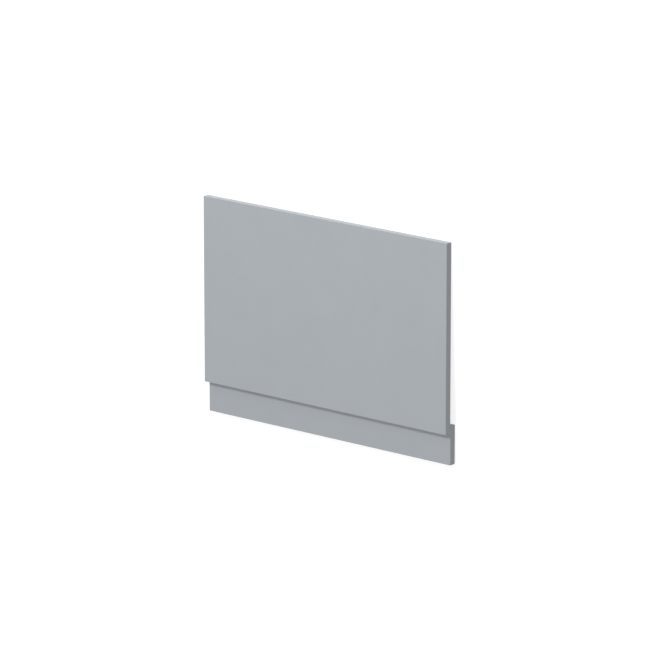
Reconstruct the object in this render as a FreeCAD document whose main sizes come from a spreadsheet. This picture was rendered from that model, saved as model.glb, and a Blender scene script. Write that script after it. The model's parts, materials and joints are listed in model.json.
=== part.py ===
# Two-piece bath end panel: a fascia board, with a plinth board lapped behind its lower edge.
# The pair lies as it rests unheld on a floor, face up. The plinth holds the panel's lower end
# off the floor, so both boards lean a little, down towards the panel's top edge.
# +X runs along the width, +Y towards the top edge and +Z up. The origin is on the floor, under
# the middle of the part. Lengths are in millimetres and angles in degrees.
import FreeCAD
import Part
import Sketcher
import os

# Driving dimensions, in the order of the sheet's rows.
DRIVING_SIZES = {
    "board_width": 780,  # both boards, from side edge to side edge
    "board_thickness": 18,  # both boards are sawn from the same sheet
    "panel_height": 480,  # the fascia board alone
    "plinth_height": 100,  # the plinth board alone
    "plinth_lap": 20,  # how far the plinth reaches up behind the panel
    "edge_radius": 1,  # rounding of the lipped edges
    "screw_count": 4,  # screws in the row that holds the plinth to the panel
    "screw_inset": 60,  # outer screws, in from the side edges
    "clearance_diameter": 4.5,  # plinth holes, which the screws pass through
    "countersink_diameter": 9,  # at the plinth's back face
    "countersink_angle": 90,
    "pilot_diameter": 3,  # panel holes, which the screws bite into
    "pilot_cover": 6,  # board left between a pilot hole and the front face
}

# Sketcher counts the points on a curve up from 1, and the sketch's axes down from -1.
START_POINT, END_POINT, CENTRE_POINT = range(1, 4)
X_AXIS, Y_AXIS = range(-1, -3, -1)
ORIGIN = (X_AXIS, START_POINT)

doc = FreeCAD.newDocument("bath_panel")


def fill_sheet():
    sheet = doc.addObject("Spreadsheet::Sheet", "Sizes")
    for row, (alias, value) in enumerate(DRIVING_SIZES.items(), start=1):
        sheet.set(f"A{row}", alias)
        sheet.set(f"B{row}", str(value))
        sheet.setAlias(f"B{row}", alias)
    doc.recompute()


def set_resting_place():
    # The plinth's upper back edge and the panel's top back edge touch the floor. The lean is the
    # angle between them, and the foot is the plinth's lower back edge, where the boards' own
    # coordinates start.
    rest = doc.addObject("App::VarSet", "Rest")
    rest.addProperty("App::PropertyAngle", "lean")
    rest.addProperty("App::PropertyDistance", "foot_y")
    rest.addProperty("App::PropertyDistance", "foot_z")
    rest.setExpression("lean", "atan(Sizes.board_thickness / (Sizes.panel_height - Sizes.plinth_lap))")
    length = "(Sizes.plinth_height - Sizes.plinth_lap + Sizes.panel_height)"
    rest.setExpression("foot_y", f"-({length} * cos(lean) + 2 * Sizes.board_thickness * sin(lean)) / 2")
    rest.setExpression(
        "foot_z",
        "(Sizes.plinth_height - Sizes.edge_radius) * sin(lean) + Sizes.edge_radius * (1 - cos(lean))",
    )
    doc.recompute()


def origin_feature(body, role):
    return next(feature for feature in body.Origin.OriginFeatures if feature.Role == role)


def back_sketch(body, name):
    # The boards' own XY plane is their back face, and their thickness runs along +Z.
    sketch = body.newObject("Sketcher::SketchObject", name)
    sketch.AttachmentSupport = [(origin_feature(body, "XY_Plane"), "")]
    sketch.MapMode = "FlatFace"
    return sketch


def constrain(sketch, name, expression, kind, *curves):
    # The constraint is made at a starting value, which gives way to the expression.
    starting_value = 1.0
    index = sketch.addConstraint(Sketcher.Constraint(kind, *curves, starting_value))
    sketch.renameConstraint(index, name)
    sketch.setExpression(f"Constraints.{name}", expression)


def draw_outline(body, height):
    # A rectangle that stands on the X axis and is centred on the Y axis.
    sketch = back_sketch(body, f"{body.Name}_outline")
    corners = [FreeCAD.Vector(x, y, 0) for x, y in ((-1, 0), (1, 0), (1, 1), (-1, 1))]
    for start, end in zip(corners, corners[1:] + corners[:1]):
        sketch.addGeometry(Part.LineSegment(start, end))
    bottom, right, top, left = range(4)
    for line, following in ((bottom, right), (right, top), (top, left), (left, bottom)):
        sketch.addConstraint(Sketcher.Constraint("Coincident", line, END_POINT, following, START_POINT))
    sketch.addConstraint(Sketcher.Constraint("Horizontal", top))
    for line in (right, left):
        sketch.addConstraint(Sketcher.Constraint("Vertical", line))
    sketch.addConstraint(Sketcher.Constraint("PointOnObject", bottom, START_POINT, X_AXIS))
    sketch.addConstraint(
        Sketcher.Constraint("Symmetric", bottom, START_POINT, bottom, END_POINT, Y_AXIS)
    )
    constrain(sketch, "width", "Sizes.board_width", "DistanceX", bottom)
    constrain(sketch, "height", height, "DistanceY", right)
    return sketch


def make_board(label, height):
    # A sawn and lipped board: a pad with every edge rounded.
    body = doc.addObject("PartDesign::Body", label)
    outline = draw_outline(body, height)
    pad = body.newObject("PartDesign::Pad", f"{label}_board")
    pad.Profile = outline
    pad.setExpression("Length", "Sizes.board_thickness")
    doc.recompute()
    rounding = body.newObject("PartDesign::Fillet", f"{label}_edges")
    rounding.Base = (pad, [""])
    rounding.UseAllEdges = True
    rounding.setExpression("Radius", "Sizes.edge_radius")
    doc.recompute()
    return body


def draw_first_screw(body, diameter, height):
    # The first hole of the row, towards -X, at the middle of the lap.
    sketch = back_sketch(body, f"{body.Name}_first_screw")
    circle = sketch.addGeometry(Part.Circle(FreeCAD.Vector(-1, 1, 0), FreeCAD.Vector(0, 0, 1), 1))
    centre = (circle, CENTRE_POINT)
    half_row = "Sizes.board_width / 2 - Sizes.screw_inset"
    constrain(sketch, "diameter", diameter, "Diameter", circle)
    constrain(sketch, "along", half_row, "DistanceX", *centre, *ORIGIN)
    constrain(sketch, "up", height, "DistanceY", *ORIGIN, *centre)
    doc.recompute()
    return sketch


def repeat_along_row(body, hole):
    row = body.newObject("PartDesign::LinearPattern", f"{body.Name}_screw_row")
    row.Originals = [hole]
    row.Direction = (origin_feature(body, "X_Axis"), [""])
    row.setExpression("Length", "Sizes.board_width - 2 * Sizes.screw_inset")
    row.setExpression("Occurrences", "Sizes.screw_count")
    body.Tip = row
    doc.recompute()


def make_plinth():
    body = make_board("plinth", "Sizes.plinth_height")
    first_screw = draw_first_screw(
        body, "Sizes.clearance_diameter", "Sizes.plinth_height - Sizes.plinth_lap / 2"
    )
    hole = body.newObject("PartDesign::Hole", "plinth_countersunk_hole")
    hole.Profile = first_screw
    doc.recompute()
    hole.Reversed = True
    hole.DepthType = "ThroughAll"
    hole.setExpression("Diameter", "Sizes.clearance_diameter")
    hole.HoleCutType = "Countersink"
    hole.HoleCutCustomValues = True
    hole.setExpression("HoleCutDiameter", "Sizes.countersink_diameter")
    hole.setExpression("HoleCutCountersinkAngle", "Sizes.countersink_angle")
    doc.recompute()
    repeat_along_row(body, hole)
    body.setExpression(
        "Placement",
        "placement(vector(0; Rest.foot_y; Rest.foot_z); rotation(vector(1; 0; 0); -Rest.lean))",
    )
    return body


def make_upper_panel(plinth):
    body = make_board("upper_panel", "Sizes.panel_height")
    first_screw = draw_first_screw(body, "Sizes.pilot_diameter", "Sizes.plinth_lap / 2")
    pilot = body.newObject("PartDesign::Pocket", "upper_panel_pilot_hole")
    pilot.Profile = first_screw
    pilot.Reversed = True
    pilot.setExpression("Length", "Sizes.board_thickness - Sizes.pilot_cover")
    doc.recompute()
    repeat_along_row(body, pilot)
    # The panel's back lies on the plinth's front face, with only the lap between their ends.
    body.setExpression(
        "Placement",
        f"{plinth.Name}.Placement * placement("
        "vector(0; Sizes.plinth_height - Sizes.plinth_lap; Sizes.board_thickness); "
        "rotation(vector(1; 0; 0); 0))",
    )
    return body


def check_document(boards):
    failed = [item.Label for item in doc.Objects if {"Invalid", "Error"} & set(item.State)]
    if failed:
        raise RuntimeError(f"these did not build: {failed}")
    for board in boards:
        if board.Shape.isNull() or not board.Shape.isValid() or len(board.Shape.Solids) != 1:
            raise RuntimeError(f"{board.Label} is not one sound solid")


def write_boards(boards):
    os.makedirs("parts", exist_ok=True)
    for board in boards:
        board.Shape.exportStep(f"parts/{board.Label}.step")
        box = board.Shape.BoundBox
        print(
            f"{board.Label}: {board.Shape.Volume:.1f} mm3, x {box.XMin:.2f} to {box.XMax:.2f}, "
            f"y {box.YMin:.2f} to {box.YMax:.2f}, z {box.ZMin:.3f} to {box.ZMax:.3f}"
        )


fill_sheet()
set_resting_place()
plinth = make_plinth()
upper_panel = make_upper_panel(plinth)
doc.recompute()
check_document([plinth, upper_panel])
write_boards([plinth, upper_panel])
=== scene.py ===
import bmesh
import bpy
import json
import math
from mathutils import Matrix, Vector


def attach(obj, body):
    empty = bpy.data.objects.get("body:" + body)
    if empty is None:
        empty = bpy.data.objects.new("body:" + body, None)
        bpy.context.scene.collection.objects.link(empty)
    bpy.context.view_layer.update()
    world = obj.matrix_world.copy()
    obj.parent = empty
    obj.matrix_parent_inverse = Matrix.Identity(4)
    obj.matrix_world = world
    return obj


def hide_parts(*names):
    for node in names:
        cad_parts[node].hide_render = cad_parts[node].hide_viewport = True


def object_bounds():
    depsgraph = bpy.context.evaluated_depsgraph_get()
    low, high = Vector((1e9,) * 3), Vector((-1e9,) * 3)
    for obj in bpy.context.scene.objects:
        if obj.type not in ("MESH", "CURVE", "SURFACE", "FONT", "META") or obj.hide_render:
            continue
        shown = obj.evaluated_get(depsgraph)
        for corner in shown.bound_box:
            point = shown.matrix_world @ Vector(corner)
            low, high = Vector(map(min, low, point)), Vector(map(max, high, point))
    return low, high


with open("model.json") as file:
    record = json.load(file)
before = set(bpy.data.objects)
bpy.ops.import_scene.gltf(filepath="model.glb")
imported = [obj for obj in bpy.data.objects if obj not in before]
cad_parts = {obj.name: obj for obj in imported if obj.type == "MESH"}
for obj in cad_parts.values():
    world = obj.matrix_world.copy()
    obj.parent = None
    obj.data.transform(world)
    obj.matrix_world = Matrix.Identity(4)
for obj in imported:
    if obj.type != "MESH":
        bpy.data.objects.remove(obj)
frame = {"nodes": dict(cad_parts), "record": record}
cadLow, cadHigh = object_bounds()
mm = 0.001
print("frame loaded:", ", ".join(sorted(frame["nodes"])))

# The boards lean a little where they lie. Pieces are made along the boards' own axes, which the
# mounts give: across the width, up the panel and out of its face.
mountAxes = {mount["name"]: Vector(mount["axis"]).normalized() for mount in frame["record"]["mounts"]}
across = Vector((1, 0, 0))
upward = mountAxes["rim_edge"]
outward = -mountAxes["plinth_back"]
boardAxes = Matrix((across, upward, outward)).transposed()


def reach(node):
    # lowest and highest corner of a CAD board along its own axes
    corners = [boardAxes.transposed() @ vertex.co for vertex in frame["nodes"][node].data.vertices]
    low = Vector([min(corner[axis] for corner in corners) for axis in range(3)])
    high = Vector([max(corner[axis] for corner in corners) for axis in range(3)])
    return low, high


panelLow, panelHigh = reach("upper_panel")
plinthLow, plinthHigh = reach("plinth")


# Materials

def hexColour(code):
    # sRGB hex to the linear colour that Blender wants
    parts = [int(code[place:place + 2], 16) / 255 for place in (1, 3, 5)]
    linear = [part / 12.92 if part <= 0.04045 else ((part + 0.055) / 1.055) ** 2.4 for part in parts]
    return (*linear, 1)


def addNode(tree, kind, settings=None, links=None):
    # settings go to an input of that name or number, or else to a property; links feed inputs
    node = tree.nodes.new(kind)
    for name, value in (settings or {}).items():
        if isinstance(name, int) or name in node.inputs:
            node.inputs[name].default_value = value
        else:
            setattr(node, name, value)
    for name, source in (links or {}).items():
        tree.links.new(source, node.inputs[name])
    return node


def startMaterial(name):
    material = bpy.data.materials.new(name)
    material.use_nodes = True
    material.node_tree.nodes.clear()
    return material, material.node_tree


facingLook = {
    "shade": "#A5AAAF",
    "paleShade": "#AAAFB4",
    "cloud": 60 * mm,  # size of the faint cloudiness of the printed paper
    "cloudDetail": 2,
    "grain": 1.5 * mm,  # the press plate's grain is about 0.4 mm, drawn coarser so that it shows
    "grainDetail": 3,
    "grainDepth": 0.12 * mm,
    "smoothest": 0.4,
    "roughest": 0.5,
    "ior": 1.5,
}


def satinMelamine():
    # Melamine facing, pressed on a finely textured plate: an even grey with a wide, soft sheen,
    # faintly cloudy where the resin took unevenly.
    material, tree = startMaterial("satin melamine facing")
    place = addNode(tree, "ShaderNodeTexCoord").outputs["Object"]
    cloud = addNode(
        tree,
        "ShaderNodeTexNoise",
        {"Scale": 1 / facingLook["cloud"], "Detail": facingLook["cloudDetail"]},
        {"Vector": place},
    ).outputs["Fac"]
    grain = addNode(
        tree,
        "ShaderNodeTexNoise",
        {"Scale": 1 / facingLook["grain"], "Detail": facingLook["grainDetail"]},
        {"Vector": place},
    ).outputs["Fac"]
    shade = addNode(
        tree,
        "ShaderNodeMix",
        {"data_type": "RGBA", 6: hexColour(facingLook["shade"]), 7: hexColour(facingLook["paleShade"])},
        {0: cloud},
    ).outputs[2]
    sheen = addNode(
        tree,
        "ShaderNodeMapRange",
        {"To Min": facingLook["smoothest"], "To Max": facingLook["roughest"]},
        {"Value": cloud},
    ).outputs["Result"]
    relief = addNode(
        tree,
        "ShaderNodeBump",
        {"Strength": 1, "Distance": facingLook["grainDepth"]},
        {"Height": grain},
    ).outputs["Normal"]
    board = addNode(
        tree,
        "ShaderNodeBsdfPrincipled",
        {"IOR": facingLook["ior"]},
        {"Base Color": shade, "Roughness": sheen, "Normal": relief},
    )
    addNode(tree, "ShaderNodeOutputMaterial", links={"Surface": board.outputs["BSDF"]})
    return material


lippingLook = {
    "shade": "#A4A9AE",
    "paleShade": "#ABB0B5",
    "dragLength": 50 * mm,
    "dragWidth": 0.7 * mm,  # the scraper's marks are about 0.2 mm wide, drawn wider so that they show
    "dragDepth": 0.02 * mm,
    "dragDetail": 2,
    "scrapedRoughness": (0.2, 0.28),  # smoothest and roughest, on the flat of the lipping
    "trimmedRoughness": (0.5, 0.6),  # the same, where the cutter rounded its edges
    "ior": 1.52,
}


def lippingPlastic(name, roughness):
    # ABS edge lipping, hot glued and scraped flush: the facing's grey, but smoother, so that it
    # mirrors the floor a little, with faint lines along each edge where the scraper was drawn.
    # The cutter that rounds its edges leaves them duller.
    material, tree = startMaterial(name)
    smoothest, roughest = roughness
    length = lippingLook["dragLength"]
    place = addNode(
        tree,
        "ShaderNodeMapping",
        {
            "vector_type": "TEXTURE",
            "Rotation": boardAxes.to_euler(),
            "Scale": (length, length, lippingLook["dragWidth"]),
        },
        {"Vector": addNode(tree, "ShaderNodeTexCoord").outputs["Object"]},
    ).outputs["Vector"]
    drag = addNode(
        tree,
        "ShaderNodeTexNoise",
        {"Scale": 1, "Detail": lippingLook["dragDetail"]},
        {"Vector": place},
    ).outputs["Fac"]
    relief = addNode(
        tree,
        "ShaderNodeBump",
        {"Strength": 1, "Distance": lippingLook["dragDepth"]},
        {"Height": drag},
    ).outputs["Normal"]
    shade = addNode(
        tree,
        "ShaderNodeMix",
        {"data_type": "RGBA", 6: hexColour(lippingLook["shade"]), 7: hexColour(lippingLook["paleShade"])},
        {0: drag},
    ).outputs[2]
    sheen = addNode(
        tree,
        "ShaderNodeMapRange",
        {"To Min": smoothest, "To Max": roughest},
        {"Value": drag},
    ).outputs["Result"]
    edging = addNode(
        tree,
        "ShaderNodeBsdfPrincipled",
        {"IOR": lippingLook["ior"]},
        {"Base Color": shade, "Roughness": sheen, "Normal": relief},
    )
    addNode(tree, "ShaderNodeOutputMaterial", links={"Surface": edging.outputs["BSDF"]})
    return material


glueLook = {
    "shade": "#8A8F92",
    "paleShade": "#9A9FA2",
    "starve": 6 * mm,  # length of the stretches where more or less glue was pressed out
    "starveDetail": 1,
    "roughness": 0.6,
    "ior": 1.48,
}


def glueLine():
    # Hot-melt glue between facing and lipping: a hairline, darker and duller than both, and uneven.
    material, tree = startMaterial("hot-melt glue line")
    place = addNode(tree, "ShaderNodeTexCoord").outputs["Object"]
    starve = addNode(
        tree,
        "ShaderNodeTexNoise",
        {"Scale": 1 / glueLook["starve"], "Detail": glueLook["starveDetail"]},
        {"Vector": place},
    ).outputs["Fac"]
    shade = addNode(
        tree,
        "ShaderNodeMix",
        {"data_type": "RGBA", 6: hexColour(glueLook["shade"]), 7: hexColour(glueLook["paleShade"])},
        {0: starve},
    ).outputs[2]
    seam = addNode(
        tree,
        "ShaderNodeBsdfPrincipled",
        {"Roughness": glueLook["roughness"], "IOR": glueLook["ior"]},
        {"Base Color": shade},
    )
    addNode(tree, "ShaderNodeOutputMaterial", links={"Surface": seam.outputs["BSDF"]})
    return material


coreLook = {
    "flake": "#C2A071",
    "darkFlake": "#8A6A44",
    "flakeSize": 1.6 * mm,
    "flakeDepth": 0.1 * mm,
    "flakeRelief": 0.6,  # share of that depth that the drill left standing
    "roughness": 0.9,
    "ior": 1.45,
}


def rawChipboard():
    # Chipboard where a drill has cut it: small tan and brown flakes, rough and without sheen.
    material, tree = startMaterial("raw chipboard")
    place = addNode(tree, "ShaderNodeTexCoord").outputs["Object"]
    flakes = addNode(
        tree, "ShaderNodeTexVoronoi", {"Scale": 1 / coreLook["flakeSize"]}, {"Vector": place}
    )
    tone = addNode(tree, "ShaderNodeSeparateColor", links={"Color": flakes.outputs["Color"]})
    shade = addNode(
        tree,
        "ShaderNodeMix",
        {"data_type": "RGBA", 6: hexColour(coreLook["flake"]), 7: hexColour(coreLook["darkFlake"])},
        {0: tone.outputs[0]},
    ).outputs[2]
    relief = addNode(
        tree,
        "ShaderNodeBump",
        {"Strength": coreLook["flakeRelief"], "Distance": coreLook["flakeDepth"]},
        {"Height": flakes.outputs["Distance"]},
    ).outputs["Normal"]
    core = addNode(
        tree,
        "ShaderNodeBsdfPrincipled",
        {"Roughness": coreLook["roughness"], "IOR": coreLook["ior"]},
        {"Base Color": shade, "Normal": relief},
    )
    addNode(tree, "ShaderNodeOutputMaterial", links={"Surface": core.outputs["BSDF"]})
    return material


screwLook = {
    "shade": "#C6C9CC",
    "mottle": 0.8 * mm,  # size of the plating's smoother and rougher spots
    "mottleDetail": 2,
    "smoothest": 0.24,
    "roughest": 0.38,
}


def zincSteel():
    # Zinc-plated steel, bright from the bath: pale silver with a slightly uneven, satin shine.
    material, tree = startMaterial("zinc-plated steel")
    place = addNode(tree, "ShaderNodeTexCoord").outputs["Object"]
    mottle = addNode(
        tree,
        "ShaderNodeTexNoise",
        {"Scale": 1 / screwLook["mottle"], "Detail": screwLook["mottleDetail"]},
        {"Vector": place},
    ).outputs["Fac"]
    shine = addNode(
        tree,
        "ShaderNodeMapRange",
        {"To Min": screwLook["smoothest"], "To Max": screwLook["roughest"]},
        {"Value": mottle},
    ).outputs["Result"]
    steel = addNode(
        tree,
        "ShaderNodeBsdfPrincipled",
        {"Base Color": hexColour(screwLook["shade"]), "Metallic": 1},
        {"Roughness": shine},
    )
    addNode(tree, "ShaderNodeOutputMaterial", links={"Surface": steel.outputs["BSDF"]})
    return material


facing = satinMelamine()
lipping = lippingPlastic("ABS edge lipping", lippingLook["scrapedRoughness"])
roundedLipping = lippingPlastic("trimmed ABS lipping", lippingLook["trimmedRoughness"])
glue = glueLine()
chipboard = rawChipboard()
zinc = zincSteel()
print("materials made")


# Making pieces

sharpAngle = 35  # degrees; a bend sharper than this is shaded as a crisp edge


def showPiece(name, shape, *finishes):
    # a bmesh becomes an object of that name
    mesh = bpy.data.meshes.new(name)
    shape.to_mesh(mesh)
    shape.free()
    piece = bpy.data.objects.new(name, mesh)
    bpy.context.scene.collection.objects.link(piece)
    for finish in finishes:
        mesh.materials.append(finish)
    return piece


def settle(piece):
    # the modifiers' result becomes the piece's own plain mesh
    depsgraph = bpy.context.evaluated_depsgraph_get()
    settled = bpy.data.meshes.new_from_object(piece.evaluated_get(depsgraph))
    piece.modifiers.clear()
    piece.data = settled


def cutOut(piece, cutter):
    # takes the cutter's shape out of the piece; the cut faces get the cutter's material
    cut = piece.modifiers.new("cut", "BOOLEAN")
    cut.operation = "DIFFERENCE"
    cut.solver = "EXACT"
    cut.material_mode = "TRANSFER"
    cut.object = cutter
    settle(piece)
    bpy.data.objects.remove(cutter)


def layDown(piece):
    # turns a finished piece from the boards' axes into the frame, and shades it, with flat faces
    # kept flat up to their rounded edges
    piece.data.transform(boardAxes.to_4x4())
    shape = bmesh.new()
    shape.from_mesh(piece.data)
    for face in shape.faces:
        face.smooth = True
    for edge in shape.edges:
        edge.smooth = edge.calc_face_angle(0) < math.radians(sharpAngle)
    shape.to_mesh(piece.data)
    shape.free()
    shading = piece.modifiers.new("shading", "WEIGHTED_NORMAL")
    shading.keep_sharp = True
    settle(piece)


def turnedShape(rows, steps):
    # a closed turned shape; each row is a height and its radius at a turn from 0 to 1
    shape = bmesh.new()
    turns = [step / steps for step in range(steps)]
    rings = []
    for height, radius in rows:
        rings.append([
            shape.verts.new((
                radius(turn) * math.cos(turn * math.tau),
                radius(turn) * math.sin(turn * math.tau),
                height,
            ))
            for turn in turns
        ])
    for lower, upper in zip(rings, rings[1:]):
        for step in range(steps):
            after = (step + 1) % steps
            shape.faces.new((lower[step], lower[after], upper[after], upper[step]))
    shape.faces.new(list(reversed(rings[0])))
    shape.faces.new(rings[-1])
    return shape


def plainRows(*profile):
    # rows of a round profile, from heights and diameters
    return [(height, lambda turn, radius=width / 2: radius) for height, width in profile]


# Screws, and the holes they sit in, repeat along the lap where the plinth lies behind the panel

screwSizes = {
    "count": 4,
    "inset": 60 * mm,  # outer screws, in from the boards' ends
    "length": 29.5 * mm,
    "headWidth": 8 * mm,
    "headRim": 0.3 * mm,
    "neck": 4.5 * mm,  # plain shank below the head
    "coreWidth": 2.7 * mm,
    "threadWidth": 4 * mm,
    "pitch": 1.8 * mm,
    "ridgeShare": 0.25,  # share of the pitch that each flank of the thread takes up
    "rowsPerPitch": 8,
    "tip": 5 * mm,
    "pointRadius": 0.05 * mm,
    "recessWidth": 4.6 * mm,
    "recessArm": 1.1 * mm,
    "recessDepth": 2 * mm,
    "recessTaper": (1.05, 0.45),  # the cross's size at its mouth and at its floor
    "recessMargin": 0.2 * mm,  # how far the recess's cutter stands out of the head
    "steps": 32,
    "seed": 7,  # how far each screw was turned when it was tightened
}

holeSizes = {
    "clearance": 4.5 * mm,
    "countersink": 9 * mm,
    "pilot": 3 * mm,
    "pilotDepth": 12 * mm,
    "margin": 1 * mm,  # how far a cutter stands out of the board
    "steps": 48,
}


def screwRowTree():
    # instances one object at even steps, each turned about its own axis by chance
    tree = bpy.data.node_groups.new("screw row", "GeometryNodeTree")
    for name, kind in (
        ("Piece", "NodeSocketObject"),
        ("Count", "NodeSocketInt"),
        ("First place", "NodeSocketVector"),
        ("Step", "NodeSocketVector"),
        ("Turn", "NodeSocketFloat"),
        ("Seed", "NodeSocketInt"),
        ("Finish", "NodeSocketMaterial"),
    ):
        tree.interface.new_socket(name=name, in_out="INPUT", socket_type=kind)
    tree.interface.new_socket(name="Geometry", in_out="OUTPUT", socket_type="NodeSocketGeometry")
    sizes = addNode(tree, "NodeGroupInput").outputs
    line = addNode(
        tree,
        "GeometryNodeMeshLine",
        {"mode": "OFFSET"},
        {"Count": sizes["Count"], "Start Location": sizes["First place"], "Offset": sizes["Step"]},
    )
    piece = addNode(tree, "GeometryNodeObjectInfo", {"As Instance": True}, {"Object": sizes["Piece"]})
    chance = addNode(
        tree,
        "FunctionNodeRandomValue",
        {"data_type": "FLOAT"},
        {3: sizes["Turn"], "Seed": sizes["Seed"]},
    )
    turned = addNode(tree, "ShaderNodeCombineXYZ", links={"Z": chance.outputs[1]})
    turn = addNode(tree, "FunctionNodeEulerToRotation", links={"Euler": turned.outputs["Vector"]})
    row = addNode(
        tree,
        "GeometryNodeInstanceOnPoints",
        links={
            "Points": line.outputs["Mesh"],
            "Instance": piece.outputs["Geometry"],
            "Rotation": turn.outputs["Rotation"],
        },
    )
    whole = addNode(tree, "GeometryNodeRealizeInstances", links={"Geometry": row.outputs["Instances"]})
    finished = addNode(
        tree,
        "GeometryNodeSetMaterial",
        links={"Geometry": whole.outputs["Geometry"], "Material": sizes["Finish"]},
    )
    addNode(tree, "NodeGroupOutput", links={"Geometry": finished.outputs["Geometry"]})
    return tree


screwRow = screwRowTree()


def repeatInRow(name, shape, finish, turn=0.0):
    # a row of the shape along the lap, on the plinth's back face
    single = showPiece(name + "-single", shape)
    row = showPiece(name, bmesh.new(), finish)
    halfRow = plinthHigh.x - screwSizes["inset"]
    lapMiddle = (panelLow.y + plinthHigh.y) / 2
    values = {
        "Piece": single,
        "Count": screwSizes["count"],
        "First place": (-halfRow, lapMiddle, plinthLow.z),
        "Step": (2 * halfRow / (screwSizes["count"] - 1), 0, 0),
        "Turn": turn,
        "Seed": screwSizes["seed"],
        "Finish": finish,
    }
    repeat = row.modifiers.new("repeat", "NODES")
    repeat.node_group = screwRow
    for socket in screwRow.interface.items_tree:
        if socket.in_out == "INPUT":
            repeat[socket.identifier] = values[socket.name]
    settle(row)
    bpy.data.objects.remove(single)
    return row


def plinthHoles():
    # countersunk at the plinth's back, and right through it
    sink = holeSizes["countersink"]
    clear = holeSizes["clearance"]
    margin = holeSizes["margin"]
    sinkDepth = (sink - clear) / 2  # the cone's sides stand at 45 degrees
    profile = plainRows(
        (-margin, sink + 2 * margin),
        (sinkDepth, clear),
        (plinthHigh.z - plinthLow.z + margin, clear),
    )
    return repeatInRow("plinth-holes", turnedShape(profile, holeSizes["steps"]), chipboard)


def pilotHoles():
    # blind holes in the panel's back, in line with the plinth's
    start = panelLow.z - plinthLow.z
    profile = plainRows(
        (start - holeSizes["margin"], holeSizes["pilot"]),
        (start + holeSizes["pilotDepth"], holeSizes["pilot"]),
    )
    return repeatInRow("pilot-holes", turnedShape(profile, holeSizes["steps"]), chipboard)


def crossRecess(faceHeight):
    # the cross that a driver fits, tapering into the head
    shape = bmesh.new()
    heights = (faceHeight - screwSizes["recessMargin"], faceHeight + screwSizes["recessDepth"])
    rings = []
    for height, taper in zip(heights, screwSizes["recessTaper"]):
        arm = screwSizes["recessWidth"] / 2 * taper
        half = screwSizes["recessArm"] / 2 * taper
        corner = [(arm, -half), (arm, half), (half, half)]
        ring = []
        for quarter in range(4):
            turn = Matrix.Rotation(quarter * math.pi / 2, 2)
            ring += [shape.verts.new((*(turn @ Vector(point)), height)) for point in corner]
        rings.append(ring)
    lower, upper = rings
    for place, start in enumerate(lower):
        after = (place + 1) % len(lower)
        shape.faces.new((start, lower[after], upper[after], upper[place]))
    shape.faces.new(list(reversed(lower)))
    shape.faces.new(upper)
    return showPiece("recess-cutter", shape, zinc)


def screwShape():
    # a countersunk chipboard screw, head down on the countersink's wall
    head = screwSizes["headWidth"]
    core = screwSizes["coreWidth"]
    thread = screwSizes["threadWidth"]
    pitch = screwSizes["pitch"]
    rimHeight = (holeSizes["countersink"] - head) / 2
    faceHeight = rimHeight - screwSizes["headRim"]
    neckHeight = rimHeight + (head - core) / 2
    tipHeight = faceHeight + screwSizes["length"]
    threadHeight = neckHeight + screwSizes["neck"]

    def threadRadius(height):
        # a narrow ridge winds round the core, and both run out towards the tip
        share = min(1, (tipHeight - height) / screwSizes["tip"])
        rise = min(1, (height - threadHeight) / pitch)
        depth = (thread - core) / 2 * rise

        def radius(turn):
            phase = (height / pitch - turn) % 1
            ridge = max(0, 1 - abs(phase - 1 / 2) / screwSizes["ridgeShare"])
            return max(screwSizes["pointRadius"], (core / 2 + depth * ridge) * share)

        return radius

    rows = plainRows((faceHeight, head), (rimHeight, head), (neckHeight, core), (threadHeight, core))
    rowStep = pitch / screwSizes["rowsPerPitch"]
    threadRows = int((tipHeight - threadHeight) / rowStep)
    for row in range(1, threadRows + 1):
        height = threadHeight + (tipHeight - threadHeight) * row / threadRows
        rows.append((height, threadRadius(height)))
    screw = showPiece("screw-single", turnedShape(rows, screwSizes["steps"]))
    cutOut(screw, crossRecess(faceHeight))
    shape = bmesh.new()
    shape.from_mesh(screw.data)
    bpy.data.objects.remove(screw)
    return shape


screws = repeatInRow("plinth-screws", screwShape(), zinc, turn=math.tau)
layDown(screws)
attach(screws, "root")
print("screws made:", screwSizes["count"])


# Boards

boardSizes = {
    "edgeRadius": 1 * mm,  # the lipping's trimmed edges
    "edgeSteps": 4,
    "glueLine": 0.2 * mm,
}

flatLimit = 0.9999  # cosine of the most that a flat face's normal may lean off a board's axis


def makeBoard(name, node, holes):
    # facing on front and back, a hairline of glue round each, and lipping on the edges, which is
    # duller where they are rounded
    low, high = reach(node)
    shape = bmesh.new()
    bmesh.ops.create_cube(shape, size=1)
    shape.transform(Matrix.Translation((low + high) / 2) @ Matrix.Diagonal((*(high - low), 1)))
    bmesh.ops.bevel(
        shape,
        geom=shape.edges[:],
        offset=boardSizes["edgeRadius"],
        segments=boardSizes["edgeSteps"],
        profile=0.5,  # round
        affect="EDGES",
    )
    shape.normal_update()
    facingSlot, lippingSlot, roundedSlot, glueSlot = range(4)
    frontAndBack = [face for face in shape.faces if abs(face.normal.z) > flatLimit]
    for face in shape.faces:
        isFlat = max(abs(part) for part in face.normal) > flatLimit
        face.material_index = lippingSlot if isFlat else roundedSlot
    for face in frontAndBack:
        border = bmesh.ops.inset_region(shape, faces=[face], thickness=boardSizes["glueLine"])
        for strip in border["faces"]:
            strip.material_index = glueSlot
        face.material_index = facingSlot
    board = showPiece(name, shape, facing, lipping, roundedLipping, glue)
    cutOut(board, holes)
    layDown(board)
    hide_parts(node)
    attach(board, "root")
    print(name, "made:", len(board.data.polygons), "faces")


makeBoard("panel-board", "upper_panel", pilotHoles())
makeBoard("plinth-board", "plinth", plinthHoles())


# Floor, light and camera

floorLook = {
    "size": 40,  # metres
    "shade": "#9E9E9E",
    "whitening": 0.8,  # added where the camera or a reflection sees the floor, to make it white
}

worldLook = {"fill": 0.58}  # light from all round, where 1 is white

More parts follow.
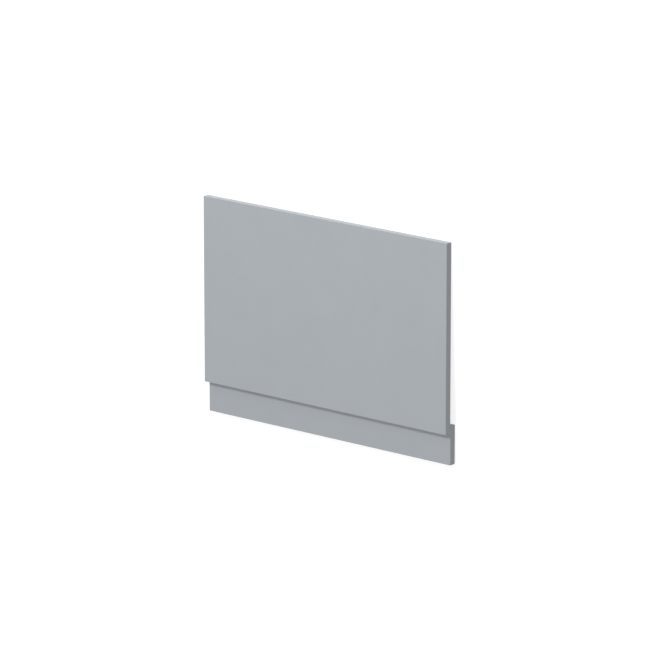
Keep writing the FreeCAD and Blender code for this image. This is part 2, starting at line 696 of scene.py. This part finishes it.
# Each lamp stands off the middle of the panel's face. Its direction is given along the boards' own
# axes, its distance and size in metres, and its power in watts.
lampSizes = {
    "softbox": {
        "across": -0.02,
        "upward": 0.55,
        "outward": 0.82,
        "distance": 4.6,
        "size": 0.7,
        "power": 89,
    },
    "rim": {
        "across": 0,
        "upward": 0.997,
        "outward": 0.075,
        "distance": 4,
        "size": 0.25,
        "power": 45,
    },
}

cameraSizes = {
    "turn": 40.02,  # degrees round towards the right-hand end
    "rise": 14.70,  # degrees round towards the top edge
    "distance": 12.976,  # metres
    "lens": 285.16,  # focal length in millimetres
    "aimAcross": 23.7 * mm,  # what the picture's middle shows, from the middle of the panel's face
    "aimUp": -45.4 * mm,
}

faceMiddle = boardAxes @ Vector((0, (panelLow.y + panelHigh.y) / 2, panelHigh.z))


def seenDirectly(tree):
    # 1 for what the camera, a reflection or a clear material sees, and 0 for light that scatters
    path = addNode(tree, "ShaderNodeLightPath").outputs
    seen = addNode(
        tree,
        "ShaderNodeMath",
        {"operation": "MAXIMUM"},
        {0: path["Is Camera Ray"], 1: path["Is Glossy Ray"]},
    ).outputs["Value"]
    return addNode(
        tree,
        "ShaderNodeMath",
        {"operation": "MAXIMUM"},
        {0: seen, 1: path["Is Transmission Ray"]},
    ).outputs["Value"]


def makeFloor():
    # pale matt floor, white to the eye, that still takes the boards' shadow
    material, tree = startMaterial("pale matt floor")
    matt = addNode(tree, "ShaderNodeBsdfDiffuse", {"Color": hexColour(floorLook["shade"])})
    glow = addNode(
        tree,
        "ShaderNodeMath",
        {"operation": "MULTIPLY", 1: floorLook["whitening"]},
        {0: seenDirectly(tree)},
    )
    white = addNode(tree, "ShaderNodeEmission", links={"Strength": glow.outputs["Value"]})
    both = addNode(
        tree, "ShaderNodeAddShader", links={0: matt.outputs["BSDF"], 1: white.outputs["Emission"]}
    )
    addNode(tree, "ShaderNodeOutputMaterial", links={"Surface": both.outputs["Shader"]})
    shape = bmesh.new()
    bmesh.ops.create_grid(shape, x_segments=1, y_segments=1, size=floorLook["size"] / 2)
    floor = showPiece("floor", shape, material)
    floor.location.z = cadLow.z


def makeWorld():
    # an even fill for the object, and white where the surroundings are seen
    world = bpy.data.worlds.new("studio")
    world.use_nodes = True
    tree = world.node_tree
    tree.nodes.clear()
    level = addNode(
        tree,
        "ShaderNodeMapRange",
        {"To Min": worldLook["fill"], "To Max": 1},
        {"Value": seenDirectly(tree)},
    )
    sky = addNode(
        tree, "ShaderNodeBackground", {"Color": (1, 1, 1, 1)}, {"Strength": level.outputs["Result"]}
    )
    addNode(tree, "ShaderNodeOutputWorld", links={"Surface": sky.outputs["Background"]})
    bpy.context.scene.world = world


def makeLamps():
    # a soft key over the panel's upper half, and a low rim light that brightens the top edge
    for name, sizes in lampSizes.items():
        light = bpy.data.lights.new(name, "AREA")
        light.size = sizes["size"]
        light.energy = sizes["power"]
        lamp = bpy.data.objects.new(name, light)
        bpy.context.scene.collection.objects.link(lamp)
        way = boardAxes @ Vector([sizes[axis] for axis in ("across", "upward", "outward")]).normalized()
        lamp.location = faceMiddle + way * sizes["distance"]
        lamp.rotation_euler = way.to_track_quat("Z", "Y").to_euler()
        lamp.visible_camera = False


def makeCamera():
    # looks down on the lying panel, turned so that the panel's top edge is at the picture's top
    turn = math.radians(cameraSizes["turn"])
    rise = math.radians(cameraSizes["rise"])
    level = math.cos(turn) * outward + math.sin(turn) * across
    back = math.cos(rise) * level + math.sin(rise) * upward
    right = math.cos(turn) * across - math.sin(turn) * outward
    up = math.cos(rise) * upward - math.sin(rise) * level
    lens = bpy.data.cameras.new("camera")
    lens.lens = cameraSizes["lens"]
    camera = bpy.data.objects.new("camera", lens)
    bpy.context.scene.collection.objects.link(camera)
    aim = faceMiddle + cameraSizes["aimAcross"] * right + cameraSizes["aimUp"] * up
    camera.matrix_world = (
        Matrix.Translation(aim + cameraSizes["distance"] * back)
        @ Matrix((right, up, back)).transposed().to_4x4()
    )
    bpy.context.scene.camera = camera


makeFloor()
makeWorld()
makeLamps()
makeCamera()
bpy.context.scene.view_settings.view_transform = "Standard"
print("floor, light and camera set")
